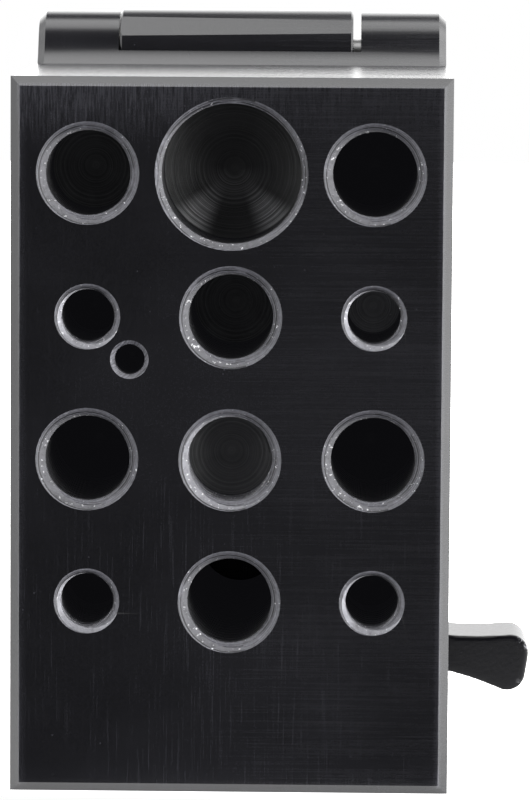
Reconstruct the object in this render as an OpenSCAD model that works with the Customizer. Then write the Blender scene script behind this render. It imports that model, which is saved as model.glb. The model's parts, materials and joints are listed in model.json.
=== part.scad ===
// Hinged accessory mounting block with a lever-clamped tube seat.
// Frame: origin on the tube axis, midway across the block.
// +X runs along the tube and the hinge, +Y goes from the drilled face to the jaw, +Z is up.

/* [Block] */
// Width of the block and of the hinge barrel (mm)
block_w = 41.3; // [34:0.1:52]
// Depth from the drilled face to the split plane (mm)
block_d = 44.45; // [40:0.05:56]
// Height of the block's front face (mm)
block_h = 67.4; // [60:0.1:84]
// Chamfer round the drilled face (mm)
face_chamfer = 0.9; // [0.3:0.1:1.5]

/* [Hole grid] */
// Distance between neighbouring holes, both ways (mm)
pitch = 13.4; // [12.6:0.1:15]
// Core radius of the 3/8 inch tapped holes (mm)
large_r = 3.97; // [3.6:0.01:4.1]
// Core radius of the 1/4 inch tapped holes (mm)
small_r = 2.5; // [2.2:0.01:2.7]
// Core radius of the wide tapped hole (mm)
wide_r = 6.55; // [5.6:0.05:6.8]
// Core radius of the anti-twist hole (mm)
pin_hole_r = 1.42; // [1.2:0.01:1.7]
// Depth of the wide hole to the end of its straight wall (mm)
wide_depth = 9.0; // [6:0.1:12]

/* [Tube seat] */
// Radius of the clamped tube (mm)
seat_r = 12.7; // [10:0.1:14]
// Distance from the tube axis to the split plane (mm)
seat_offset = 9.2; // [8.4:0.1:10.5]
// Gap left between block and jaw for clamping (mm)
split_gap = 0.8; // [0.5:0.1:1.2]

/* [Hinge] */
// Radius of the hinge barrel (mm)
barrel_r = 4.76; // [4.2:0.01:5.2]
// Length of the jaw's middle knuckle (mm)
knuckle_w = 23.6; // [20:0.1:26]
// Radius of the hinge pin (mm)
hinge_pin_r = 2.0; // [1.5:0.05:2.4]

/* [Jaw] */
// Thickness of the jaw plate (mm)
jaw_t = 9.0; // [8:0.1:12]

/* [Clamp lever] */
// Thread radius of the clamp stud (mm)
stud_r = 3.175; // [2.6:0.005:3.4]
// Height of the stud's axis above the block's foot (mm)
stud_h = 7.8; // [7.4:0.1:9]
// Distance from the stud's axis to the tip of the handle (mm)
lever_len = 30.6; // [26:0.1:38]
// Angle of the handle below level (degrees)
lever_droop = 8.6; // [0:0.1:20]

/* [Hidden] */
$fn = 96;
eps = 0.05;
fit = 0.04;

// Block levels
low_row_h = 18.2;
foot_z = -(1.5 * pitch + low_row_h);
top_z = foot_z + block_h;
front_y = seat_offset - block_d;
split_y = seat_offset;
edge_chamfer = 0.5;

// Hole grid as [column, row, depth of straight wall], columns and rows in pitches from the centre
large_holes = [[-1, 1.5, 13.0], [1, 1.5, 19.0], [0, 0.5, 19.0], [-1, -0.5, 19.0],
    [0, -0.5, 6.5], [1, -0.5, 19.0]];
small_holes = [[-1, 0.5, 14.5], [1, 0.5, 14.5], [-1, -1.5, 16.0], [1, -1.5, 16.0]];
large_lead = 0.85;
small_lead = 0.58;
wide_lead = 0.6;
pin_lead = 0.39;
pin_hole_depth = 6.0;
pin_hole_dx = 3.95;
pin_hole_dz = -4.0;
through_from = 15;
through_depth = 22;
drill_slope = 0.6;

// Hinge
hinge_lift = 0.5;
hinge_y = split_y + split_gap / 2;
hinge_z = top_z + hinge_lift;
fillet_r = 6.0;
fillet_rise = 24;
fillet_y = hinge_y - (barrel_r + fillet_r) * cos(fillet_rise);
fillet_z = hinge_z + (barrel_r + fillet_r) * sin(fillet_rise);
toe_y = fillet_y + sqrt(pow(fillet_r, 2) - pow(fillet_z - top_z, 2));
toe_cover = 0.3;
knuckle_proud = 0.2;
knuckle_r = barrel_r + knuckle_proud;
knuckle_shift = 0.55;
knuckle_x0 = -knuckle_w / 2 - knuckle_shift;
knuckle_x1 = knuckle_x0 + knuckle_w;
knuckle_play = 0.12;
knuckle_slit = 0.8;
slot_x0 = knuckle_x0 - knuckle_play;
slot_x1 = knuckle_x1 + knuckle_slit;
slot_clear = 0.09;
slot_r = knuckle_r + slot_clear;
knuckle_chamfer = 0.2;
flat_rise = 43;
flat_depth = 0.12;
flat_skew = -0.22;
barrel_chamfer = 0.7;
bush_wall = 1.0;
bush_r = hinge_pin_r + fit + bush_wall;
bush_len = 8.0;
pin_recess = 0.4;
lock_r = 1.5;
lock_inset = 4.2;
lock_x = block_w / 2 - lock_inset;
lock_sink = 0.5;
lock_socket_r = 0.87;
lock_floor = 1.0;
press = 0.01;
pin_chamfer = 0.3;
bush_inset = 0.1;

// Jaw
jaw_y0 = split_y + split_gap;
jaw_y1 = jaw_y0 + jaw_t;
jaw_foot_z = foot_z + 0.3;
jaw_shoulder_z = hinge_z - barrel_r - 0.6;
jaw_shoulder_in = 2.0;
jaw_chamfer = 1.0;
relief_r = barrel_r + 0.45;
neck_angle = 50;
neck_z = hinge_z - 9.5;

// Clamp screw stack along +Y
stud_z = foot_z + stud_h;
turns = 4;
thread_pitch = 1.27;
backed_off = turns * thread_pitch;
spot_r = 7.4;
spot_depth = 1.2;
spot_y = jaw_y1 - spot_depth;
washer_t = 1.0;
washer_r = 6.2;
shank_relief = 0.8;
shank_r = stud_r - shank_relief;
web_r = shank_r + 0.25;
washer_play = 0.02;
hub_y = spot_y + washer_t + backed_off + 2 * washer_play;
tip_len = 5.0;
tip_in = 3.3;
tip_y = split_y - tip_in;
tip_lead = 0.5;
pocket_r = 4.35;
pocket_depth = 3.6;
insert_len = 8.0;
stud_relief = 3.0;
insert_y = split_y - pocket_depth;
park_r = stud_r + 0.6;
park_depth = 1.4;

// Lever core
flange_r = 5.3;
flange_t = 1.6;
spline_r = 4.2;
spline_teeth = 18;
spline_depth = 0.45;
spline_len = 2.4;
neck_r = 3.2;
core_len = 8.2;
core_bore_len = 4.4;
screw_r = 1.5;

// Lever handle
skirt = 0.4;
hub_r0 = 6.8;
hub_r1 = 5.9;
hub_len = 18.4;
spline_gap = 0.08;
shelf_a = 8.5;
shelf_t = 1.1;
spring_bore_r = 3.5;
arm_t = 10.3;
arm_a = 0.55;
waist_at = 17.5;
waist_w = 1.75;
flare_at = [22.8, 25.3];
flare_w = [1.96, 2.3];
tip_w = 3.0;
tip_r = 1.95;
nose = 0.35;
back_r = 1.2;
head_a = 15.8;
head_t = 1.9;
head_r = 2.9;
head_socket_r = 1.35;
head_socket_t = 1.1;
screw_end = core_bore_len + 0.6;
spring_r = 2.55;
wire_r = 0.28;
coils = 5;
coil_steps = 24;
wire_sides = 8;

// A tapped hole's core from the drilled face inwards: lead-in, straight wall and drill cone
module drilled(r, lead, depth) {
    rotate([-90, 0, 0])
        rotate_extrude()
            polygon([[0, -eps], [r + lead + eps, -eps], [r, lead], [r, depth],
                [0, depth + r * drill_slope]]);
}

// A round bar along +X with chamfered ends
module bar_x(r, x0, x1, chamfer) {
    translate([x0, 0, 0])
        rotate([90, 0, 90])
            rotate_extrude()
                polygon([[0, 0], [r - chamfer, 0], [r, chamfer], [r, x1 - x0 - chamfer],
                    [r - chamfer, x1 - x0], [0, x1 - x0]]);
}

// A round bar along +Y
module bar_y(r, y0, y1) {
    translate([0, y0, 0])
        rotate([-90, 0, 0])
            cylinder(r = r, h = y1 - y0);
}

// The space a hollow fillet along X leaves free, flared at both ends so the fillet is chamfered
module flared_x(r, x0, x1, flare) {
    translate([x0, 0, 0])
        rotate([90, 0, 90])
            rotate_extrude()
                polygon([[0, 0], [r + flare, 0], [r, flare], [r, x1 - x0 - flare],
                    [r + flare, x1 - x0], [0, x1 - x0]]);
}

// Extrudes a side view drawn in Y and Z across X
module across(x0, x1) {
    translate([x0, 0, 0])
        rotate([90, 0, 90])
            linear_extrude(x1 - x0)
                children();
}

// The block's chamfered box: side view, front view and plan met together
module chamfered_box() {
    intersection() {
        across(-block_w / 2, block_w / 2)
            polygon([[front_y + face_chamfer, foot_z], [split_y - edge_chamfer, foot_z],
                [split_y, foot_z + edge_chamfer], [split_y, top_z],
                [front_y + face_chamfer, top_z], [front_y, top_z - face_chamfer],
                [front_y, foot_z + face_chamfer]]);
        linear_extrude(3 * block_h, center = true)
            polygon([[-block_w / 2, front_y + face_chamfer], [-block_w / 2 + face_chamfer, front_y],
                [block_w / 2 - face_chamfer, front_y], [block_w / 2, front_y + face_chamfer],
                [block_w / 2, split_y - edge_chamfer], [block_w / 2 - edge_chamfer, split_y],
                [-block_w / 2 + edge_chamfer, split_y], [-block_w / 2, split_y - edge_chamfer]]);
    }
}

// The hinge lug: a barrel blended to the top face by one hollow fillet
module hinge_lug() {
    translate([0, hinge_y, hinge_z])
        bar_x(barrel_r, -block_w / 2, block_w / 2, barrel_chamfer);
    difference() {
        across(-block_w / 2, block_w / 2)
            polygon([[toe_y - toe_cover, top_z - eps], [split_y - edge_chamfer, top_z - eps],
                [split_y - edge_chamfer, hinge_z],
                [hinge_y - barrel_r * cos(fillet_rise), hinge_z + barrel_r * sin(fillet_rise)]]);
        translate([0, fillet_y, fillet_z])
            flared_x(fillet_r, -block_w / 2, block_w / 2, barrel_chamfer);
    }
}

// Open-backed seat for the tube: half round with straight sides to the split plane
module seat_cut() {
    rotate([0, 90, 0])
        cylinder(r = seat_r, h = 2 * block_w, center = true);
    translate([-block_w, 0, -seat_r])
        cube([2 * block_w, 2 * seat_offset, 2 * seat_r]);
}

module hole_grid() {
    for (h = large_holes)
        translate([h[0] * pitch, front_y, h[1] * pitch])
            drilled(large_r, large_lead, h[2]);
    for (h = small_holes)
        translate([h[0] * pitch, front_y, h[1] * pitch])
            drilled(small_r, small_lead, h[2]);
    translate([0, front_y, 1.5 * pitch])
        drilled(wide_r, wide_lead, wide_depth);
    translate([-pitch + pin_hole_dx, front_y, 0.5 * pitch + pin_hole_dz])
        drilled(pin_hole_r, pin_lead, pin_hole_depth);
    translate([0, front_y, -1.5 * pitch]) {
        drilled(large_r, large_lead, through_depth);
        bar_y(large_r, through_from, block_d + 1);
    }
}

module mounting_block() {
    color([0.07, 0.07, 0.08])
        difference() {
            union() {
                chamfered_box();
                hinge_lug();
            }
            hole_grid();
            seat_cut();
            translate([0, hinge_y, hinge_z]) {
                bar_x(slot_r, slot_x0, slot_x1, 0);
                bar_x(hinge_pin_r + press, -block_w, block_w, 0);
            }
            for (s = [-1, 1])
                translate([s * lock_x, hinge_y, hinge_z])
                    bar_y(lock_r + press, 0, 2 * barrel_r);
            translate([0, 0, stud_z]) {
                bar_y(pocket_r, insert_y, split_y + 1);
                bar_y(pocket_r + press, insert_y - insert_len, insert_y + eps);
                bar_y(stud_r, insert_y - insert_len - stud_relief, insert_y);
            }
        }
}

module hinge_pin() {
    color([0.75, 0.75, 0.77])
        translate([0, hinge_y, hinge_z])
            bar_x(hinge_pin_r, -block_w / 2 + pin_recess, block_w / 2 - pin_recess, pin_chamfer);
}

// Two set screws that hold the pin in the outer knuckles
module hinge_pin_screws() {
    color([0.15, 0.15, 0.16])
        for (s = [-1, 1])
            translate([s * lock_x, hinge_y, hinge_z])
                difference() {
                    bar_y(lock_r, hinge_pin_r + fit, barrel_r - lock_sink);
                    rotate([-90, 0, 0])
                        translate([0, 0, hinge_pin_r + lock_floor])
                            cylinder(r = lock_socket_r, h = barrel_r, $fn = 6);
                }
}

// Steel bush pressed into the block that takes the clamp stud's thread
module stud_insert() {
    color([0.7, 0.7, 0.7])
        translate([0, 0, stud_z])
            difference() {
                bar_y(pocket_r, insert_y - insert_len, insert_y);
                bar_y(stud_r + fit, insert_y - insert_len - 1, insert_y + 1);
            }
}

// Side view of the jaw plate below the hinge
module jaw_plate_outline() {
    polygon([[jaw_y0, jaw_foot_z + jaw_chamfer / 2], [jaw_y0 + jaw_chamfer / 2, jaw_foot_z],
        [jaw_y1 - jaw_chamfer, jaw_foot_z], [jaw_y1, jaw_foot_z + jaw_chamfer],
        [jaw_y1, neck_z], [jaw_y1 - jaw_shoulder_in, jaw_shoulder_z], [jaw_y0, jaw_shoulder_z]]);
}

// Side view of the neck that carries the middle knuckle
module jaw_neck_outline() {
    polygon([[jaw_y0, neck_z], [jaw_y1, neck_z],
        [hinge_y + knuckle_r * cos(neck_angle), hinge_z + knuckle_r * sin(neck_angle)],
        [hinge_y, hinge_z], [jaw_y0, hinge_z]]);
}

// Shallow flat dressed along the front of the middle knuckle, a little out of square
module knuckle_flat() {
    rotate([-flat_rise, 0, 0])
        rotate([0, 0, flat_skew])
            translate([knuckle_x0 - 1, -knuckle_r - 1, -knuckle_r])
                cube([knuckle_w + 2, 1 + flat_depth, 2 * knuckle_r]);
}

module clamp_jaw() {
    color([0.07, 0.07, 0.08])
        difference() {
            union() {
                difference() {
                    intersection() {
                        across(-block_w / 2, block_w / 2)
                            jaw_plate_outline();
                        linear_extrude(3 * block_h, center = true)
                            polygon([[-block_w / 2, jaw_y0], [block_w / 2, jaw_y0],
                                [block_w / 2, jaw_y1 - jaw_chamfer],
                                [block_w / 2 - jaw_chamfer, jaw_y1],
                                [-block_w / 2 + jaw_chamfer, jaw_y1],
                                [-block_w / 2, jaw_y1 - jaw_chamfer]]);
                    }
                    translate([0, hinge_y, hinge_z])
                        bar_x(relief_r, -block_w, block_w, 0);
                }
                across(knuckle_x0, knuckle_x1)
                    jaw_neck_outline();
                translate([0, hinge_y, hinge_z])
                    bar_x(knuckle_r, knuckle_x0, knuckle_x1, knuckle_chamfer);
            }
            rotate([0, 90, 0])
                cylinder(r = seat_r, h = 2 * block_w, center = true);
            translate([0, hinge_y, hinge_z]) {
                bar_x(bush_r + press, -block_w, block_w, 0);
                knuckle_flat();
            }
            translate([0, 0, stud_z]) {
                bar_y(park_r, jaw_y0 - 1, jaw_y0 + park_depth);
                bar_y(web_r, jaw_y0, jaw_y1);
                bar_y(spot_r, spot_y, jaw_y1 + 1);
            }
        }
}

// Bronze sleeves in both ends of the middle knuckle
module knuckle_bushes() {
    color([0.65, 0.45, 0.2])
        translate([0, hinge_y, hinge_z])
            for (x = [knuckle_x0 + bush_inset, knuckle_x1 - bush_inset - bush_len])
                difference() {
                    bar_x(bush_r, x, x + bush_len, 0);
                    bar_x(hinge_pin_r + fit, x - 1, x + bush_len + 1, 0);
                }
}

module thrust_washer() {
    color([0.75, 0.75, 0.77])
        translate([0, 0, stud_z])
            difference() {
                bar_y(washer_r, spot_y + backed_off + washer_play, spot_y + backed_off + washer_t);
                bar_y(web_r, spot_y, hub_y + 1);
            }
}

// Threaded tip and relieved shank, made in one piece and bonded in the lever core
module clamp_stud() {
    shank_len = hub_y + core_bore_len - 0.02 - tip_y;
    color([0.6, 0.6, 0.62])
        translate([0, tip_y, stud_z])
            rotate([-90, 0, 0])
                rotate_extrude()
                    polygon([[0, 0], [stud_r - tip_lead, 0], [stud_r, tip_lead],
                        [stud_r, tip_len - tip_lead], [shank_r, tip_len + tip_lead / 2],
                        [shank_r, shank_len], [0, shank_len]]);
}

// Toothed ring drawn in plan; grow opens it for the socket
module spline_ring(grow) {
    step = 360 / spline_teeth;
    polygon([for (i = [0 : spline_teeth - 1], s = [0, 1, 2, 3])
        let (r = (s == 1 || s == 2) ? spline_r + grow : spline_r - spline_depth + grow,
            a = step * (i + (s + 0.5) / 4 - 0.5))
        [r * cos(a), r * sin(a)]]);
}

// Steel core that the handle's teeth drop on to
module lever_core() {
    color([0.35, 0.35, 0.36])
        translate([0, hub_y, stud_z])
            rotate([-90, 0, 0])
                difference() {
                    union() {
                        cylinder(r = flange_r, h = flange_t);
                        translate([0, 0, flange_t])
                            linear_extrude(spline_len)
                                spline_ring(0);
                        cylinder(r = neck_r, h = core_len);
                    }
                    translate([0, 0, -1])
                        cylinder(r = shank_r + press, h = 1 + core_bore_len);
                    translate([0, 0, core_bore_len + 0.4])
                        cylinder(r = screw_r + press, h = core_len);
                }
}

// Plan of the arm along +X: narrow waist, flared and rounded end
module arm_outline() {
    difference() {
        union() {
            polygon([[0, -hub_r1 + 1], [hub_r0 - 1, -hub_r1 + 2.2], [waist_at, -waist_w],
                [flare_at[0], -flare_w[0]], [flare_at[1], -flare_w[1]],
                [lever_len - tip_r, -tip_w], [lever_len, tip_r - tip_w],
                [lever_len, tip_w - tip_r], [lever_len - tip_r, tip_w],
                [flare_at[1], flare_w[1]], [flare_at[0], flare_w[0]],
                [waist_at, waist_w], [hub_r0 - 1, hub_r1 - 2.2], [0, hub_r1 - 1]]);
            for (s = [-1, 1])
                translate([lever_len - tip_r, s * (tip_w - tip_r)])
                    circle(r = tip_r);
        }
        circle(r = hub_r1 - 1.2);
    }
}

// Side view of the arm: level inner face, outer face stepping down from the hub
module arm_side() {
    polygon([[0, arm_a], [lever_len - nose, arm_a], [lever_len, arm_a + nose],
        [lever_len, arm_a + arm_t - back_r], [lever_len - back_r, arm_a + arm_t],
        [waist_at, arm_a + arm_t], [hub_r0, hub_len - 3], [0, hub_len - 3]]);
    translate([lever_len - back_r, arm_a + arm_t - back_r])
        circle(r = back_r);
}

module lever_handle() {
    color([0.08, 0.08, 0.09])
        translate([0, hub_y, stud_z])
            rotate([-90, 0, 0])
                difference() {
                    union() {
                        translate([0, 0, skirt])
                            cylinder(r1 = hub_r0, r2 = hub_r1, h = hub_len - skirt - 1);
                        translate([0, 0, hub_len - 1])
                            cylinder(r1 = hub_r1, r2 = hub_r1 - 1, h = 1);
                        rotate([0, 0, lever_droop])
                            intersection() {
                                linear_extrude(hub_len)
                                    arm_outline();
                                rotate([90, 0, 0])
                                    linear_extrude(4 * hub_r0, center = true)
                                        arm_side();
                            }
                    }
                    cylinder(r = flange_r + 0.2, h = 2 * flange_t + 0.1, center = true);
                    linear_extrude(flange_t + spline_len + 0.2)
                        spline_ring(spline_gap);
                    cylinder(r = spline_r + 0.3, h = flange_t + 0.1);
                    cylinder(r = neck_r + 0.5, h = shelf_a);
                    cylinder(r = screw_r + 0.3, h = hub_len);
                    translate([0, 0, shelf_a + shelf_t])
                        cylinder(r = spring_bore_r, h = hub_len);
                }
}

// Coil that pushes the handle back on to the teeth: wire swept along a helix with closed ends
module lever_spring() {
    low = shelf_a + shelf_t + wire_r + 0.02;
    high = head_a - wire_r - 0.02;
    steps = coil_steps * coils;
    // the first and last half coil lie flat, so the climb only counts between them
    climb = function (i) max(0, min(1, (i / coil_steps - 0.5) / (coils - 1)));
    points = [for (i = [0 : steps], j = [0 : wire_sides - 1])
        let (a = 360 * i / coil_steps, b = 360 * j / wire_sides, r = spring_r + wire_r * cos(b))
        [r * cos(a), r * sin(a), low + (high - low) * climb(i) + wire_r * sin(b)]];
    skin = [for (i = [0 : steps - 1], j = [0 : wire_sides - 1])
        let (k = (j + 1) % wire_sides, n = i * wire_sides, m = n + wire_sides)
        [n + j, n + k, m + k, m + j]];
    start = [[for (j = [0 : wire_sides - 1]) wire_sides - 1 - j]];
    end = [[for (j = [0 : wire_sides - 1]) steps * wire_sides + j]];
    color([0.7, 0.7, 0.7])
        translate([0, hub_y, stud_z])
            rotate([-90, 0, 0])
                polyhedron(points, concat(start, skin, end));
}

module lever_screw() {
    color([0.2, 0.2, 0.21])
        translate([0, hub_y, stud_z])
            rotate([-90, 0, 0])
                difference() {
                    union() {
                        translate([0, 0, screw_end])
                            cylinder(r = screw_r, h = head_a + eps - screw_end);
                        translate([0, 0, head_a])
                            cylinder(r = head_r, h = head_t);
                    }
                    translate([0, 0, head_a + head_t - head_socket_t])
                        cylinder(r = head_socket_r, h = head_t, $fn = 6);
                }
}

mounting_block();
hinge_pin();
hinge_pin_screws();
stud_insert();
clamp_jaw();
knuckle_bushes();
thrust_washer();
clamp_stud();
lever_core();
lever_handle();
lever_spring();
lever_screw();
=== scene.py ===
import json
import math

import bpy
from mathutils import Matrix, Vector

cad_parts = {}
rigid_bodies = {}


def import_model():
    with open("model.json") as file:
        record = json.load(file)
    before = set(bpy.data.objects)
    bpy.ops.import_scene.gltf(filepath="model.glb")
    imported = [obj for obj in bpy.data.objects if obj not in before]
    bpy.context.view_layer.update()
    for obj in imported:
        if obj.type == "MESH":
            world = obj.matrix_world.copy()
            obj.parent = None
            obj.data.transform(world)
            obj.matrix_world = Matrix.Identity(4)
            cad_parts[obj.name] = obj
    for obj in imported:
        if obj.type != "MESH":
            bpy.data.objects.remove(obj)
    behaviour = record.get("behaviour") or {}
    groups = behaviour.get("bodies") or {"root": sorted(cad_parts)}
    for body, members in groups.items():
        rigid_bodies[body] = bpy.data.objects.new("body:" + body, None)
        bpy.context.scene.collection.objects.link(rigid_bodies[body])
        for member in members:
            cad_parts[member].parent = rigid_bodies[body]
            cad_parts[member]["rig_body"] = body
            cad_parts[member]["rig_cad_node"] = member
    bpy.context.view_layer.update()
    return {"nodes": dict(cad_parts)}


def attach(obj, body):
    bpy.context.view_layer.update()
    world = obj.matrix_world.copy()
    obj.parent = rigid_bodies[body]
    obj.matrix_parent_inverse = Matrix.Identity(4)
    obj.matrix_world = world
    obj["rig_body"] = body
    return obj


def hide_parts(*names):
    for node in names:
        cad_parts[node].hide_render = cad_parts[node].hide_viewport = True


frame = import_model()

# ---------------------------------------------------------------------------------------------
# Camera. A long lens a hand's breadth above level, nearly square to the drilled face,
# so the holes read as circles and the top face is only just seen.
# ---------------------------------------------------------------------------------------------
MM = 0.001
FOCAL_LENGTH, FRAME_WIDTH = 4855.0, 530.0  # in one unit: only their ratio counts
SENSOR_WIDTH = 36.0
roll, pitch, yaw = 0.0063761, 0.0988535, 0.0173035  # radians
# In millimetres: the face's middle to the right, down and forward of the lens, and the tube's
# axis to the right, back and up from the face's middle
lens_to_face = Vector((-3.32962, 3.50899, 454.31258))
face_to_axis = Vector((0.052, 35.25, 4.548))

turn = (Matrix.Rotation(roll, 3, "Z") @ Matrix.Rotation(pitch, 3, "X")
        @ Matrix.Rotation(yaw, 3, "Y")).transposed()


def upright(v):
    """From a lens's right, down and forward to the part's X, Y and Z."""
    return Vector((v.x, v.z, -v.y))


eye = turn @ -lens_to_face
place = (upright(eye) - face_to_axis) * MM
axes = [upright(turn @ Vector(v)) for v in ((1, 0, 0), (0, -1, 0), (0, 0, -1))]
lens = bpy.data.cameras.new("studio_camera")
lens.sensor_fit = "HORIZONTAL"
lens.sensor_width = SENSOR_WIDTH
lens.lens = FOCAL_LENGTH * SENSOR_WIDTH / FRAME_WIDTH
lens.clip_start, lens.clip_end = 0.02, 20
camera = bpy.data.objects.new("studio_camera", lens)
bpy.context.scene.collection.objects.link(camera)
camera.matrix_world = Matrix.Translation(place) @ Matrix(axes).transposed().to_4x4()
bpy.context.scene.camera = camera

# ---------------------------------------------------------------------------------------------
# Mounting block. Machined from bar, drilled and tapped, its edges chamfered, then brushed and
# anodised black. The taps were run after the holes, so the first turns and the lead-ins shine;
# on the turns this is partly painted light, and deeper in the holes the dark is painted shade.
# ---------------------------------------------------------------------------------------------


class Value:
    """A socket that takes part in sums: an expression on values adds its Math nodes."""

    def __init__(self, paint, socket):
        self.paint, self.socket = paint, socket

    def math(self, operation, *others):
        return self.paint.node("ShaderNodeMath", {"operation": operation},
                               dict(enumerate((self, *others))))

    def __add__(self, other):
        return self.math("ADD", other)

    def __sub__(self, other):
        return self.math("SUBTRACT", other)

    def __rsub__(self, other):
        return self.paint.node("ShaderNodeMath", {"operation": "SUBTRACT"}, {0: other, 1: self})

    def __mul__(self, other):
        return self.math("MULTIPLY", other)

    def __truediv__(self, other):
        return self.math("DIVIDE", other)

    __radd__ = __add__
    __rmul__ = __mul__

    def rises(self, start, end):
        """0 below start, 1 above end, smooth between; a falling edge has start above end."""
        low, high, first, last = (start, end, 0.0, 1.0) if start < end else (end, start, 1.0, 0.0)
        return self.paint.node("ShaderNodeMapRange", {"interpolation_type": "SMOOTHSTEP"},
                               {0: self, 1: low, 2: high, 3: first, 4: last})


class Paint:
    """One material and the nodes in it."""

    def __init__(self, name, tree=None):
        if tree is None:
            self.material = bpy.data.materials.new(name)
            self.material.use_nodes = True
            tree = self.material.node_tree
        self.tree = tree
        self.tree.nodes.clear()

    def node(self, kind, settings=None, sockets=None, out=0):
        made = self.tree.nodes.new(kind)
        for key, value in (settings or {}).items():
            setattr(made, key, value)
        for key, value in (sockets or {}).items():
            if isinstance(value, Value):
                self.tree.links.new(value.socket, made.inputs[key])
            else:
                made.inputs[key].default_value = value
        return Value(self, made.outputs[out]) if made.outputs else None

    def place(self):
        """The point on the part in millimetres, as a vector and as its three numbers."""
        at = self.node("ShaderNodeTexCoord", out="Object")
        at = self.node("ShaderNodeVectorMath", {"operation": "SCALE"}, {0: at, "Scale": 1000.0})
        apart = self.node("ShaderNodeSeparateXYZ", sockets={0: at})
        return at, [Value(self, s) for s in apart.socket.node.outputs]

    def grain(self, at, stretch, detail=2.0, rough=0.5, tilt=(0, 0, 0), shift=(0, 0, 0)):
        """Noise drawn out along an axis, as brushing and scratches are."""
        moved = self.node("ShaderNodeMapping", sockets={
            "Vector": at, "Location": shift, "Rotation": tilt, "Scale": stretch})
        return self.node("ShaderNodeTexNoise", sockets={
            "Vector": moved, "Scale": 1.0, "Detail": detail, "Roughness": rough})

    def blend(self, factor, first, second):
        return self.node("ShaderNodeMix", {"data_type": "RGBA"}, {
            0: factor, 6: first, 7: second}, out=2)

    def bump(self, height, strength, distance):
        """Relief on the surface; the distance is in metres."""
        return self.node("ShaderNodeBump", sockets={
            "Height": height, "Strength": strength, "Distance": distance})

    def surface(self, **sockets):
        names = {"colour": "Base Color", "roughness": "Roughness", "metallic": "Metallic",
                 "normal": "Normal", "specular": "Specular IOR Level",
                 "glow": "Emission Color", "glow_strength": "Emission Strength"}
        shader = self.node("ShaderNodeBsdfPrincipled",
                           sockets={names[k]: v for k, v in sockets.items()})
        self.node("ShaderNodeOutputMaterial", sockets={"Surface": shader})
        return self.material


# The drilled face and its hole grid, in millimetres
FACE_Y = -35.25
FACE_TOP = 28.2
FACE_SIDE = 19.75
PITCH = 13.4
# The anodised black, and the grey it is rubbed to
BLACK = (0.0024, 0.0024, 0.0036, 1)
RUBBED = (0.055, 0.055, 0.066, 1)


def black_anodise(name, drilled_face):
    """Satin black over brushed aluminium: brush lines, long scratches, dust and rubbed edges."""
    paint = Paint(name)
    at, (x, y, z) = paint.place()
    brush = paint.grain(at, (0.05, 0.25, 5.0), detail=5, rough=0.85)
    grit = paint.grain(at, (9.0, 9.0, 9.0), detail=2, rough=0.7)
    cloud = paint.grain(at, (0.045, 0.045, 0.06), detail=3, shift=(3, 1, 7))
    slant = paint.grain(at, (5.0, 0.4, 0.12), detail=4, rough=0.7, tilt=(0, math.radians(-8), 0))
    patch = paint.grain(at, (0.10, 0.13, 0.07), detail=2, shift=(11, 0, 5))
    low = z.rises(2.0, -22.0) * 0.8 + 0.2
    scratch = slant.rises(0.52, 0.78) * patch.rises(0.35, 0.6) * low
    dust = paint.node("ShaderNodeTexVoronoi", {"feature": "F1"}, {
        "Vector": at, "Scale": 0.7, "Randomness": 1.0}, out=0)
    chosen = paint.node("ShaderNodeTexWhiteNoise", sockets={
        "Vector": Value(paint, dust.socket.node.outputs["Position"])})
    dust = dust.rises(0.075, 0.03) * chosen.rises(0.6, 0.65)
    lined = brush.rises(0.35, 0.75) * x.rises(-14.0, 14.0)
    marks = (scratch * 0.42 + dust * 0.5 + lined * 0.10 + cloud.rises(0.35, 0.7) * 0.10
             + grit.rises(0.35, 0.75) * 0.15)
    if drilled_face:
        rub = paint.grain(at, (5.5, 0.5, 0.35), detail=5, rough=0.8, shift=(4, 0, 2))
        under_top = (z + rub * 5.0).rises(24.0, 32.0) * rub.rises(0.3, 0.7)
        leftwards = x.rises(14.0, -19.0) * 0.75 + 0.25
        side = x.rises(-18.9, -FACE_SIDE) * 0.6 + x.rises(19.1, FACE_SIDE)
        edge = (x.math("ABSOLUTE") - FACE_SIDE).math("ABSOLUTE").rises(0.14, 0.04)
        edge = edge + (z - FACE_TOP).math("ABSOLUTE").rises(0.12, 0.03)
        edge = edge * rub.rises(0.42, 0.6)
        front = y.rises(FACE_Y + 0.4, FACE_Y + 0.1)
        marks = marks + (under_top * leftwards * 0.9 + side * rub * 0.5 + edge * 0.5) * front
    colour = paint.blend(marks, BLACK, RUBBED)
    height = brush * 0.4 + scratch * -0.5 + grit * 0.25
    return paint.surface(colour=colour, roughness=0.21 + lined * 0.10 + marks * 0.15,
                         specular=0.5, normal=paint.bump(height, 0.12, 0.00004))


def from_hole_axis(x, z):
    """Distance and turn from the nearest hole's axis: the grid repeats every pitch both ways."""
    across = x.math("WRAP", PITCH / 2, -PITCH / 2)
    up = z.math("WRAP", PITCH, 0.0) - PITCH / 2
    return (across * across + up * up).math("SQRT"), up.math("ARCTAN2", across) / math.tau


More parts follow.
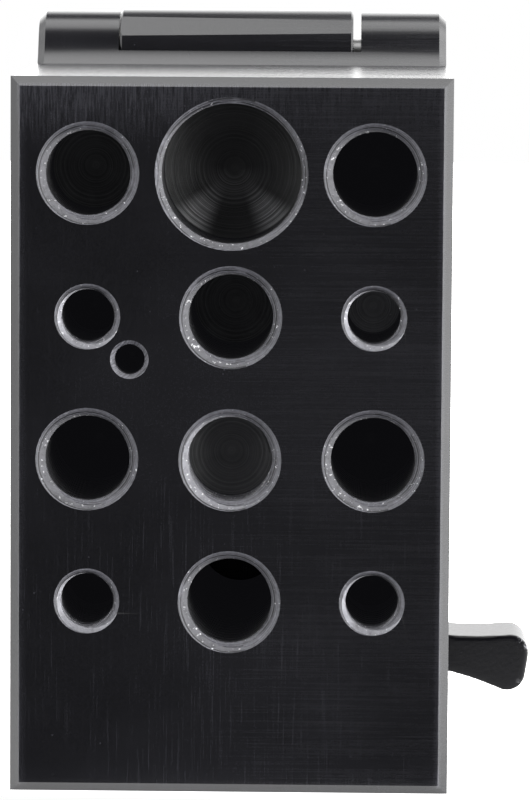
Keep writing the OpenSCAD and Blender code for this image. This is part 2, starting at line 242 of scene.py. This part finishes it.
def lead_in_finish(name):
    """Countersink left grey by the anodise: turning streaks round it, the tap's first turn
    winding down it as a double dark line of painted shade in the groove's root, and a few
    bright nicks, partly bare metal and partly painted glints."""
    paint = Paint(name)
    at, (x, y, z) = paint.place()
    drift = paint.grain(at, (0.45, 0.45, 0.45), detail=2)
    radius, turn = from_hole_axis(x, z)
    tap_starts = 0.2
    wound = (turn + tap_starts).math("WRAP", 1.0, 0.0)
    streak = paint.node("ShaderNodeTexNoise", {"noise_dimensions": "1D"}, {
        "W": (radius - wound * 0.45) * 6.5 + drift * 2.0, "Scale": 1.0, "Detail": 2.0})
    first_turn = ((y - FACE_Y) - (0.68 - wound * 0.62)).math("ABSOLUTE")
    second_line = (first_turn - 0.17).math("ABSOLUTE")
    # The double dark line is painted shade in the root of the thread's groove.
    groove = first_turn.rises(0.10, 0.03) + second_line.rises(0.06, 0.02) * 0.7
    groove = groove * wound.rises(0.02, 0.12) * drift.rises(0.3, 0.5)
    chatter = paint.grain(at, (2.2, 2.2, 2.2), detail=4, rough=0.75, shift=(1, 5, 2))
    # Bright nicks: spots of bare metal with painted glints on them.
    nicks_and_glints = paint.grain(at, (3.6, 3.6, 3.6), detail=3, shift=(8, 2, 2)).rises(0.66, 0.72)
    patch = paint.grain(at, (0.16, 0.16, 0.16), detail=1, shift=(2, 2, 6)).rises(0.45, 0.6)
    nicks_and_glints = nicks_and_glints * (patch * 0.85 + 0.15)
    tone = streak.rises(0.3, 0.62) * 0.6 + chatter.rises(0.35, 0.7) * 0.4
    colour = paint.blend(tone, (0.030, 0.030, 0.036, 1), (0.21, 0.21, 0.24, 1))
    colour = paint.blend(groove, colour, (0.012, 0.012, 0.014, 1))
    colour = paint.blend(nicks_and_glints, colour, (0.8, 0.8, 0.84, 1))
    return paint.surface(colour=colour, roughness=0.34 + tone * 0.1, metallic=nicks_and_glints * 0.8,
                         normal=paint.bump(streak + chatter, 0.25, 0.00006))


# A faint glow painted on the walls and drill points deep in the holes, standing in for what
# little light reaches them
HOLE_PAINTED_GLOW = 0.0032


def cut_metal(name, reach, tone, shine):
    """Cut thread turns, bright for the first reach millimetres, partly bare metal and partly
    painted light, and painted shade further in; painted glints on the nicks near the mouth, and a
    faint painted glow all over.
    """
    paint = Paint(name)
    at, (x, y, z) = paint.place()
    depth = y - FACE_Y
    chatter = paint.grain(at, (1.6, 1.6, 1.6), detail=5, rough=0.75)
    nicks_and_glints = paint.grain(at, (3.4, 3.4, 3.4), detail=2)
    # Painted light on the turns near the mouth, over bare metal there; painted shade further in.
    mouth_metal_and_painted_light = (depth + chatter).rises(reach + 0.9, reach - 0.6)
    mouth_metal_and_painted_light = mouth_metal_and_painted_light * (chatter.rises(0.2, 0.6) * 0.6 + 0.4)
    # Painted glints on the nicks in that band.
    painted_nick_glint = nicks_and_glints.rises(0.62, 0.7) * mouth_metal_and_painted_light
    colour = paint.blend(mouth_metal_and_painted_light, (0.010, 0.010, 0.012, 1), (tone, tone, tone * 1.08, 1))
    colour = paint.blend(painted_nick_glint, colour, (0.9, 0.9, 0.92, 1))
    return paint.surface(colour=colour, metallic=shine * mouth_metal_and_painted_light,
                         roughness=0.42 + 0.2 * chatter - 0.2 * painted_nick_glint,
                         glow=(1, 1, 1.2, 1), glow_strength=HOLE_PAINTED_GLOW,
                         normal=paint.bump(chatter + nicks_and_glints * 0.6, 0.4, 0.0001))


def drill_point(name, column, row, shade, reflection_fan_tone, glow):
    """The cone a drill leaves at the bottom of a hole: rings of turning marks under a faint
    painted glow, and where a fan tone is given two pale fans either side of straight down,
    painted reflections of the side lights."""
    paint = Paint(name)
    at, (x, y, z) = paint.place()
    across, up = x - column * PITCH, z - row * PITCH
    radius = (across * across + up * up).math("SQRT")
    drift = paint.grain(at, (0.5, 0.5, 0.5))
    fine = paint.node("ShaderNodeTexNoise", {"noise_dimensions": "1D"}, {
        "W": radius * 4.6 + drift * 0.5, "Scale": 1.0, "Detail": 4.0, "Roughness": 0.75})
    groove = paint.grain(at, (0.35, 0.35, 0.35), detail=3, shift=(2, 9, 4))
    light = fine.rises(0.35, 0.75) * 0.7 + groove.rises(0.3, 0.7) * 0.3
    colour = paint.blend(light, (0.012, 0.012, 0.012, 1), (shade, shade * 1.04, shade * 1.02, 1))
    if reflection_fan_tone:
        rise = up / (radius + 0.01)
        aside = (across / (radius + 0.01)).math("ABSOLUTE")
        # Two pale fans either side of straight down: painted reflections of the side lights in
        # the cone.
        painted_reflection_fan = rise.rises(-0.50, -0.74) * aside.rises(0.28, 0.58) * radius.rises(1.6, 5.0)
        painted_reflection_fan = painted_reflection_fan + rise.rises(0.2, -0.8) * radius.rises(4.2, 2.0) * radius.rises(0.4, 1.2) * 0.3
        arcs = fine.rises(0.42, 0.6)
        colour = paint.blend(painted_reflection_fan * (arcs * 0.75 + 0.25), colour,
                             (reflection_fan_tone, reflection_fan_tone, reflection_fan_tone * 1.03, 1))
    return paint.surface(colour=colour, metallic=0.1, roughness=0.38,
                         glow=(1, 1, 1.1, 1), glow_strength=glow,
                         normal=paint.bump(fine, 0.5, 0.00012))


def select_only(piece):
    bpy.ops.object.select_all(action="DESELECT")
    piece.select_set(True)
    bpy.context.view_layer.objects.active = piece


def copy_of(node, name):
    """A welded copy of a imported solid, free to be worked on."""
    piece = frame["nodes"][node].copy()
    piece.data = piece.data.copy()
    piece.name = piece.data.name = name
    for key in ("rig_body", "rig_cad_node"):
        if key in piece:
            del piece[key]
    piece.parent = None
    bpy.context.scene.collection.objects.link(piece)
    select_only(piece)
    bpy.ops.object.mode_set(mode="EDIT")
    bpy.ops.mesh.select_all(action="SELECT")
    bpy.ops.mesh.remove_doubles(threshold=1e-6)
    bpy.ops.mesh.normals_make_consistent(inside=False)
    bpy.ops.object.mode_set(mode="OBJECT")
    bpy.ops.mesh.customdata_custom_splitnormals_clear()
    piece.data.materials.clear()
    return piece


def apply_all(piece):
    select_only(piece)
    for modifier in list(piece.modifiers):
        bpy.ops.object.modifier_apply(modifier=modifier.name)


def seat(piece):
    """Leaves the object at the origin, unturned and unscaled, its place in its mesh."""
    select_only(piece)
    bpy.ops.object.transform_apply(location=True, rotation=True, scale=True)


def enclosed_volume(mesh):
    """Positive when the faces of a closed mesh look outwards."""
    mesh.calc_loop_triangles()
    total = 0.0
    for triangle in mesh.loop_triangles:
        a, b, c = (mesh.vertices[i].co for i in triangle.vertices)
        total += a.dot(b.cross(c)) / 6
    return total


def thread_form(name, core, crest, lead, start, length, at, steps=40):
    """A tap or a screw's thread along +Y: one V turned up a helix, closed at both ends."""
    flat = lead / 8
    mesh = bpy.data.meshes.new(name)
    points = [(core, 0), (core, flat), (crest, lead / 2 - flat / 2), (crest, lead / 2 + flat / 2),
              (core, lead - flat), (core, lead)]
    mesh.from_pydata([(r * MM, 0, h * MM) for r, h in points],
                     [(i, i + 1) for i in range(len(points) - 1)], [])
    piece = bpy.data.objects.new(name, mesh)
    bpy.context.scene.collection.objects.link(piece)
    turned = piece.modifiers.new("turns", "SCREW")
    turned.axis = "Z"
    turned.screw_offset = lead * MM
    turned.iterations = round(length / lead)
    turned.steps = turned.render_steps = steps
    turned.use_merge_vertices = True
    turned.merge_threshold = 1e-6
    apply_all(piece)
    bpy.ops.object.mode_set(mode="EDIT")
    bpy.ops.mesh.select_all(action="SELECT")
    bpy.ops.mesh.remove_doubles(threshold=2e-6)
    bpy.ops.mesh.select_all(action="DESELECT")
    bpy.ops.mesh.select_mode(type="EDGE")
    bpy.ops.mesh.select_non_manifold(extend=False, use_wire=False, use_multi_face=False,
                                     use_non_contiguous=False, use_verts=False)
    bpy.ops.mesh.fill_holes(sides=0)
    bpy.ops.mesh.select_all(action="SELECT")
    bpy.ops.mesh.normals_make_consistent(inside=False)
    bpy.ops.object.mode_set(mode="OBJECT")
    if enclosed_volume(piece.data) < 0:
        bpy.ops.object.mode_set(mode="EDIT")
        bpy.ops.mesh.flip_normals()
        bpy.ops.object.mode_set(mode="OBJECT")
    piece.rotation_euler = (-math.pi / 2, 0, 0)
    piece.location = Vector((at[0], start, at[1])) * MM
    seat(piece)
    return piece


def cut_away(piece, tool):
    cut = piece.modifiers.new("cut", "BOOLEAN")
    cut.operation = "DIFFERENCE"
    cut.solver = "EXACT"
    cut.object = tool
    select_only(piece)
    bpy.ops.object.modifier_apply(modifier="cut")
    bpy.data.objects.remove(tool)


block = copy_of("mounting_block", "tapped_block")

# Where each thread size stands in the grid, and how it is tapped: core radius, crest radius
# and lead of the tap, and how far in front of the face it starts
WIDE, SHORT = (0, 1.5), (0, -0.5)
LARGE = [(-1, 1.5), (1, 1.5), (0, 0.5), (-1, -0.5), SHORT, (1, -0.5), (0, -1.5)]
SMALL = [(-1, 0.5), (1, 0.5), (-1, -1.5), (1, -1.5)]
LARGE_TAP = (3.6, 4.70, 1.5875, FACE_Y - 1.0)
SMALL_TAP = (2.3, 3.10, 1.27, FACE_Y - 0.8)
WIDE_TAP = (6.2, 7.12, 1.5, FACE_Y - 0.9)
SMALL_LENGTH, WIDE_LENGTH, WIDE_STEPS = 13.0, 8.0, 72
LARGE_LENGTH, LARGE_LENGTHS = 17.0, {SHORT: 6.0, (-1, 1.5): 12.0}


def on_grid(column, row):
    return column * PITCH, row * PITCH


taps = [thread_form("tap", *LARGE_TAP, LARGE_LENGTHS.get(hole, LARGE_LENGTH), on_grid(*hole))
        for hole in LARGE]
taps += [thread_form("tap", *SMALL_TAP, SMALL_LENGTH, on_grid(*hole)) for hole in SMALL]
taps.append(thread_form("tap", *WIDE_TAP, WIDE_LENGTH, on_grid(*WIDE), WIDE_STEPS))
select_only(taps[0])
for tap in taps:
    tap.select_set(True)
bpy.ops.object.join()
cut_away(block, bpy.context.view_layer.objects.active)

# How far from its axis each hole's surfaces reach, lead-in and all
LARGE_REACH, SMALL_REACH, WIDE_REACH = 4.86, 3.2, 7.2
HOLES = ([(hole, LARGE_REACH) for hole in LARGE] + [(hole, SMALL_REACH) for hole in SMALL]
         + [(WIDE, WIDE_REACH)])
LEAD_IN_DEPTH = 0.9
# The holes that show their drill point: where its cone starts, its rim's radius, the tone of
# its rings and of its fans (painted reflections), and its painted glow
CONES = {WIDE: (9.0, 6.8, 0.10, 0.9, HOLE_PAINTED_GLOW), (1, 0.5): (14.5, 2.6, 0.9, 0, 0.008),
         (-1, 1.5): (13, 4.1, 0.3, 0, HOLE_PAINTED_GLOW), SHORT: (6.5, 4.1, 0.14, 0, 0.008),
         (0, 0.5): (19.0, 4.1, 0.5, 0, HOLE_PAINTED_GLOW)}
# The hole for an anti-twist pin: its place on the face, the reach of its surfaces, its depth
PIN_HOLE = (-PITCH + 3.95, 0.5 * PITCH - 4.0)
PIN_REACH, PIN_DEPTH = 1.86, 8

FACE, THREAD, SHORT_THREAD, LEAD_IN, QUARTER_THREAD, FIRST_POINT = range(6)
# Each thread finish gives how deep its painted light reaches on the turns, its tone and its
# shine.
for finish in (black_anodise("anodised_face", True),
               cut_metal("cut_thread", 2.0, 0.2, 0.15),
               cut_metal("cut_thread_short_hole", 6.2, 0.36, 0.4),
               lead_in_finish("anodised_lead_in"),
               cut_metal("cut_thread_quarter_inch", 3.4, 0.42, 0.6)):
    block.data.materials.append(finish)
for (column, row), (_, _, rings, reflection_fans, glow) in CONES.items():
    block.data.materials.append(
        drill_point(f"drill_point_{column}_{row}", column, row, rings, reflection_fans, glow))

for face in block.data.polygons:
    centre = face.center / MM
    face.material_index = FACE
    if centre.y < FACE_Y + 1e-3:
        continue
    depth = centre.y - FACE_Y
    is_lead_in = depth < LEAD_IN_DEPTH and 0.6 < abs(face.normal.y) < 0.82
    for hole, reach in HOLES:
        x, z = on_grid(*hole)
        away = math.hypot(centre.x - x, centre.z - z)
        if away < reach:
            thread = (SHORT_THREAD if hole == SHORT else QUARTER_THREAD if hole in SMALL
                      else THREAD)
            face.material_index = LEAD_IN if is_lead_in else thread
            if hole in CONES:
                cone_start, rim = CONES[hole][:2]
                if depth > cone_start - 0.02 and away < rim - 0.05:
                    face.material_index = FIRST_POINT + list(CONES).index(hole)
    if math.hypot(centre.x - PIN_HOLE[0], centre.z - PIN_HOLE[1]) < PIN_REACH \
            and depth < PIN_DEPTH:
        face.material_index = LEAD_IN if is_lead_in else THREAD
select_only(block)
bpy.ops.object.shade_smooth_by_angle(angle=math.radians(28))
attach(block, "block")
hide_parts("mounting_block")

# ---------------------------------------------------------------------------------------------
# Clamp jaw. A plate of the same bar, bored with the block for the tube, hung on the middle
# knuckle and anodised with it.
# ---------------------------------------------------------------------------------------------
jaw = frame["nodes"]["clamp_jaw"]
jaw.data.materials.clear()
jaw.data.materials.append(black_anodise("anodised_jaw", False))

# ---------------------------------------------------------------------------------------------
# Hinge pin, its two set screws and the bronze bushes. Ground stainless pin pressed through,
# locked by black cup-point screws; the bushes turn on it inside the middle knuckle.
# ---------------------------------------------------------------------------------------------


def grey(level, warm=0.0):
    return (level * (1 + warm), level, level * (1 - warm), 1.0)


def turned_steel(name, level, rough, metallic=1.0, line=(9.0, 0.5, 0.5)):
    """Bar or wire steel with the fine marks of turning or grinding, finest along line."""
    paint = Paint(name)
    at, _ = paint.place()
    marks = paint.grain(at, line, detail=3, rough=0.6)
    cloud = paint.grain(at, (0.4, 0.4, 0.4), detail=3, shift=(5, 2, 1))
    wear = marks.rises(0.35, 0.7) * 0.6 + cloud.rises(0.4, 0.7) * 0.4
    colour = paint.blend(wear, grey(level * 0.75, 0.01), grey(level, -0.01))
    return paint.surface(colour=colour, metallic=metallic, roughness=rough + marks * 0.14,
                         normal=paint.bump(marks, 0.2, 0.00003))


def bronze(name):
    """Sintered bushing bronze, mottled by its pores and the oil in them."""
    paint = Paint(name)
    at, _ = paint.place()
    marks = paint.grain(at, (2, 2, 2), detail=4)
    colour = paint.blend(marks.rises(0.3, 0.7), (0.30, 0.17, 0.06, 1), (0.52, 0.32, 0.13, 1))
    return paint.surface(colour=colour, metallic=1.0, roughness=0.3 + marks * 0.15,
                         normal=paint.bump(marks, 0.2, 0.00004))


for node, finish in (
        ("hinge_pin", turned_steel("ground_pin", 0.22, 0.3)),
        ("hinge_pin_screws", turned_steel("black_oxide_screws", 0.05, 0.32, 0.6, (2, 2, 2))),
        ("knuckle_bushes", bronze("bush_bronze")),
        ("stud_insert", turned_steel("insert_steel", 0.5, 0.3, 1.0, (0.6, 8.0, 0.6))),
        ("thrust_washer", turned_steel("washer_steel", 0.55, 0.28, 1.0, (3, 0.4, 3))),
        ("clamp_stud", turned_steel("stud_steel", 0.5, 0.3, 1.0, (0.6, 8.0, 0.6))),
        ("lever_core", turned_steel("core_black_oxide", 0.06, 0.34, 0.7, (0.8, 6.0, 0.8))),
        ("lever_spring", turned_steel("spring_wire", 0.45, 0.3, 1.0, (3, 3, 3))),
        ("lever_screw", turned_steel("cap_screw_black", 0.05, 0.33, 0.6, (0.8, 5.0, 0.8)))):
    solid = frame["nodes"][node]
    solid.data.materials.clear()
    solid.data.materials.append(finish)

# ---------------------------------------------------------------------------------------------
# Lever handle. A zinc casting with every edge run round, powder coated black; the coat has
# worn to bright metal at the two corners of the tip.
# ---------------------------------------------------------------------------------------------


def powder_coat(name):
    """Sprayed black with a fine orange peel, specks of dust, and bare metal at the tip."""
    paint = Paint(name)
    at, (x, y, z) = paint.place()
    peel = paint.grain(at, (2.2, 2.2, 2.2), detail=2)
    grit = paint.grain(at, (9, 9, 9), detail=2)
    chips = paint.grain(at, (1.4, 1.4, 1.4), detail=4, rough=0.7, shift=(3, 3, 3))
    tip_z = -35.0
    corner = (z - tip_z).math("ABSOLUTE").rises(1.3, 2.0)
    tip = x.rises(28.9, 30.2) * chips.rises(0.52, 0.64) * corner * y.rises(26.5, 24.8)
    speck = grit.rises(0.74, 0.78)
    coat, bare = (0.0022, 0.0022, 0.0032, 1), (0.5, 0.5, 0.53, 1)
    colour = paint.blend(tip * 0.7 + speck * 0.25, coat, bare)
    return paint.surface(colour=colour, roughness=0.26 + grit * 0.12, metallic=tip * 0.5,
                         specular=0.12,
                         normal=paint.bump(peel + grit * 0.25, 0.3, 0.00008))


handle = copy_of("lever_handle", "cast_handle")
skin = handle.modifiers.new("skin", "REMESH")
skin.mode = "VOXEL"
skin.voxel_size = 0.24 * MM
soft = handle.modifiers.new("soft", "SMOOTH")
soft.factor, soft.iterations = 0.5, 9
apply_all(handle)
thin = handle.modifiers.new("thin", "DECIMATE")
thin.ratio = 0.5
apply_all(handle)
bpy.ops.object.shade_smooth()
handle.data.materials.append(powder_coat("powder_coat_black"))
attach(handle, "handle")
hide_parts("lever_handle")

# ---------------------------------------------------------------------------------------------
# Studio. A pale floor under the block, a long soft box overhead, white cards at both sides and
# behind, and a dark room in front.
# ---------------------------------------------------------------------------------------------
FOOT = -38.3
bpy.ops.object.select_all(action="DESELECT")
bpy.ops.mesh.primitive_circle_add(vertices=96, radius=0.60, fill_type="NGON",
                                  location=(0.0, 0.562, FOOT * MM))
floor = bpy.context.active_object
floor.name = "floor"
floor_paint = Paint("pale_floor")
floor_at, _ = floor_paint.place()
speckle = floor_paint.grain(floor_at, (0.2, 0.2, 0.2), detail=3)
floor.data.materials.append(floor_paint.surface(
    colour=floor_paint.blend(speckle, grey(0.86), grey(0.9)), roughness=0.6, specular=0.3,
    glow=(1, 1, 1, 1), glow_strength=1.6))
seat(floor)

room = bpy.data.worlds.new("studio")
bpy.context.scene.world = room
room.use_nodes = True
sky = Paint("studio", room.node_tree)
toward = sky.node("ShaderNodeTexCoord", out="Generated")
apart = sky.node("ShaderNodeSeparateXYZ", sockets={0: toward})
sx, sy, sz = [Value(sky, s) for s in apart.socket.node.outputs]
overhead = sz.rises(0.5, 0.8) * sy.rises(-0.34, -0.14) * sy.rises(0.40, 0.26)
level = (0.12 + overhead * 4.6 + sx.rises(-0.5, -0.85) * 2.2 + sx.rises(0.5, 0.85) * 5.0
         + sy.rises(0.6, 0.86) * 3.0)
seen = sky.node("ShaderNodeLightPath", out="Is Camera Ray")
strength = level * (1 - seen) + seen * 1.0
glow = sky.node("ShaderNodeBackground", sockets={"Color": (1, 1, 1, 1), "Strength": strength})
sky.node("ShaderNodeOutputWorld", sockets={"Surface": glow})
bpy.context.scene.view_settings.view_transform = "Standard"
